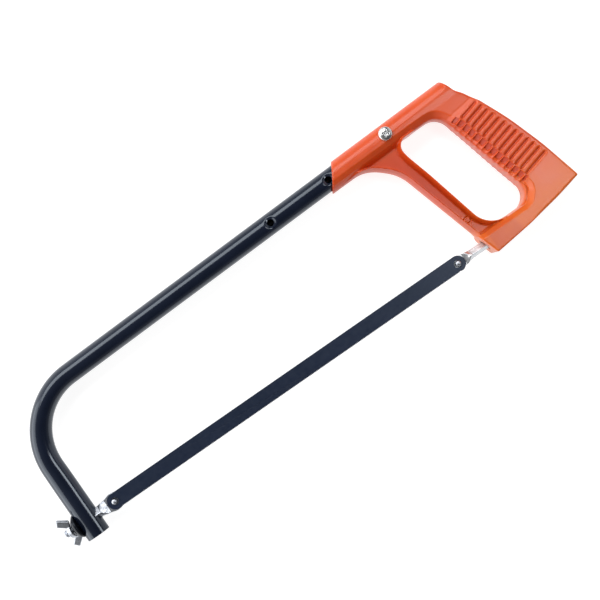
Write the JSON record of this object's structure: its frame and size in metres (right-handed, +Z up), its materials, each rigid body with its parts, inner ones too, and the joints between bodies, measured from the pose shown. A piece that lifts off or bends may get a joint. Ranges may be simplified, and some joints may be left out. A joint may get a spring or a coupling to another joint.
{
  "type": "hacksaw",
  "caption": "Hacksaw with a bent tube frame, a moulded D-shaped pistol handle, a straight toothed blade on two pins and a wing nut that tightens the blade.",
  "frame": {"origin": "under the middle of the whole saw's outline, on the surface it lies on", "axes": "+X along the blade from the wing nut towards the handle, +Y from the blade towards the tube, +Z up through the thickness of the saw as it lies on its side"},
  "size_m": [0.4493, 0.129, 0.0262],
  "materials": {
    "frame_paint": "gloss near-black navy enamel on steel tube",
    "handle_plastic": "orange moulded plastic, light satin",
    "zinc_plate": "bright zinc plate",
    "blade_paint": "dark navy satin enamel on spring steel",
    "washer_black": "gloss black enamel"
  },
  "bodies": {
    "saw_frame": {"frame_tube": "frame_paint", "handle": "handle_plastic", "handle_screw": "zinc_plate", "rear_holder": "zinc_plate", "rear_pin": "zinc_plate", "domed_washer": "washer_black"},
    "tension_bolt": {"tension_bolt": "zinc_plate", "front_pin": "zinc_plate"},
    "wing_nut": {"wing_nut": "zinc_plate"},
    "blade": {"blade": "blade_paint"}
  },
  "joints": [
    {"name": "wing_nut_turn", "type": "hinge", "parent": "saw_frame", "child": "wing_nut", "pos_m": [-0.21855, -0.05125, 0.0125], "axis": [-1, 0, 0], "range_deg": [0, 432]},
    {"name": "tension_slide", "type": "slide", "parent": "saw_frame", "child": "tension_bolt", "axis": [1, 0, 0], "range_m": [0, 0.0012]},
    {"name": "blade_lift", "type": "slide", "parent": "saw_frame", "child": "blade", "axis": [0, 0, 1], "range_m": [0, 0.008]}
  ],
  "couplings": [
    {"joint": "wing_nut_turn", "follows": "tension_slide", "rad_per_m": 6283.2}
  ]
}
